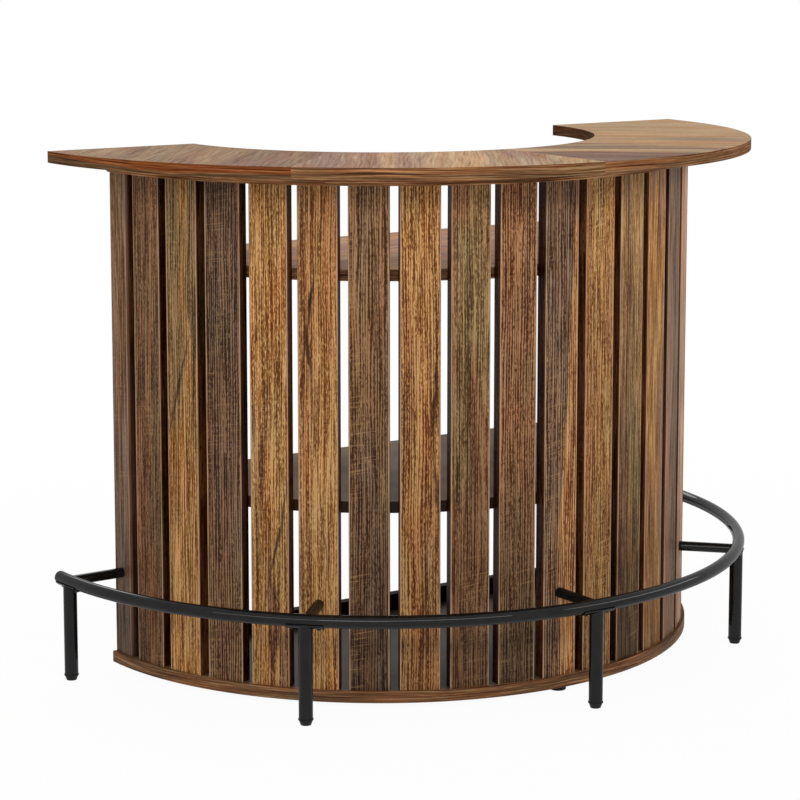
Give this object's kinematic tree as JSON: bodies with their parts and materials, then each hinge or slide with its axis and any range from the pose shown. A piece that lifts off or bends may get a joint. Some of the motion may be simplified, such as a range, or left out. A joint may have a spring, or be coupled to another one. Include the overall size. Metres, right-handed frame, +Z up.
{
  "type": "bar counter",
  "caption": "Half-round bar counter with an upright slatted wood front, open shelves behind, a segmented wood top and a black tube foot rail.",
  "frame": {"origin": "on the floor, under the middle of the whole counter's box", "axes": "+X to the guests' right as they face the bartender from the front, +Y towards the bartender, +Z up"},
  "size_m": [1.5452, 0.7764, 1.05],
  "materials": {
    "slat_wood": "rough sawn, stained and matt oiled",
    "top_wood": "rustic, satin lacquered",
    "ring_wood": "rustic, satin lacquered",
    "board_wood": "dark stained, matt",
    "black_board": "black painted, matt",
    "black_metal": "black powder coat, satin",
    "black_plastic": "moulded, matt",
    "dowel_wood": "plain beech",
    "black_screw": "blackened",
    "steel": "zinc plated"
  },
  "bodies": {
    "counter": {"bottom_board": "board_wood", "carcass_screws": "steel", "counter_top_1": "top_wood", "counter_top_2": "top_wood", "counter_top_3": "top_wood", "counter_top_4": "top_wood", "end_panel_left": "slat_wood", "end_panel_right": "slat_wood", "foot_inserts": "steel", "middle_shelf": "board_wood", "rail_bolts": "black_screw", "rail_connectors": "steel", "rail_leg_1": "black_metal", "rail_leg_2": "black_metal", "rail_leg_3": "black_metal", "rail_leg_4": "black_metal", "rail_leg_5": "black_metal", "rail_segment_1": "black_metal", "rail_segment_2": "black_metal", "rail_segment_3": "black_metal", "rail_segment_4": "black_metal", "rear_guard": "black_board", "shelf_pins": "steel", "slat_01": "slat_wood", "slat_02": "slat_wood", "slat_03": "slat_wood", "slat_04": "slat_wood", "slat_05": "slat_wood", "slat_06": "slat_wood", "slat_07": "slat_wood", "slat_08": "slat_wood", "slat_09": "slat_wood", "slat_10": "slat_wood", "slat_11": "slat_wood", "slat_12": "slat_wood", "slat_13": "slat_wood", "slat_14": "slat_wood", "slat_15": "slat_wood", "slat_16": "slat_wood", "slat_17": "slat_wood", "slat_18": "slat_wood", "slat_19": "slat_wood", "slat_20": "slat_wood", "slat_21": "slat_wood", "stretcher_1": "black_metal", "stretcher_2": "black_metal", "stretcher_3": "black_metal", "stretcher_4": "black_metal", "stretcher_5": "black_metal", "top_ring_left": "ring_wood", "top_ring_middle": "ring_wood", "top_ring_right": "ring_wood", "tube_plugs": "black_plastic", "upper_shelf": "board_wood", "wooden_dowels": "dowel_wood"},
    "foot_front": {"levelling_foot_front": "black_plastic"},
    "foot_left": {"levelling_foot_left": "black_plastic"},
    "foot_right": {"levelling_foot_right": "black_plastic"},
    "foot_rear_left": {"levelling_foot_rear_left": "black_plastic"},
    "foot_rear_right": {"levelling_foot_rear_right": "black_plastic"}
  },
  "joints": [
    {"name": "foot_front_screw", "type": "slide", "parent": "counter", "child": "foot_front", "axis": [0, 0, -1], "range_m": [0, 0.008]},
    {"name": "foot_left_screw", "type": "slide", "parent": "counter", "child": "foot_left", "axis": [0, 0, -1], "range_m": [0, 0.008]},
    {"name": "foot_right_screw", "type": "slide", "parent": "counter", "child": "foot_right", "axis": [0, 0, -1], "range_m": [0, 0.008]},
    {"name": "foot_rear_left_screw", "type": "slide", "parent": "counter", "child": "foot_rear_left", "axis": [0, 0, -1], "range_m": [0, 0.008]},
    {"name": "foot_rear_right_screw", "type": "slide", "parent": "counter", "child": "foot_rear_right", "axis": [0, 0, -1], "range_m": [0, 0.008]}
  ]
}
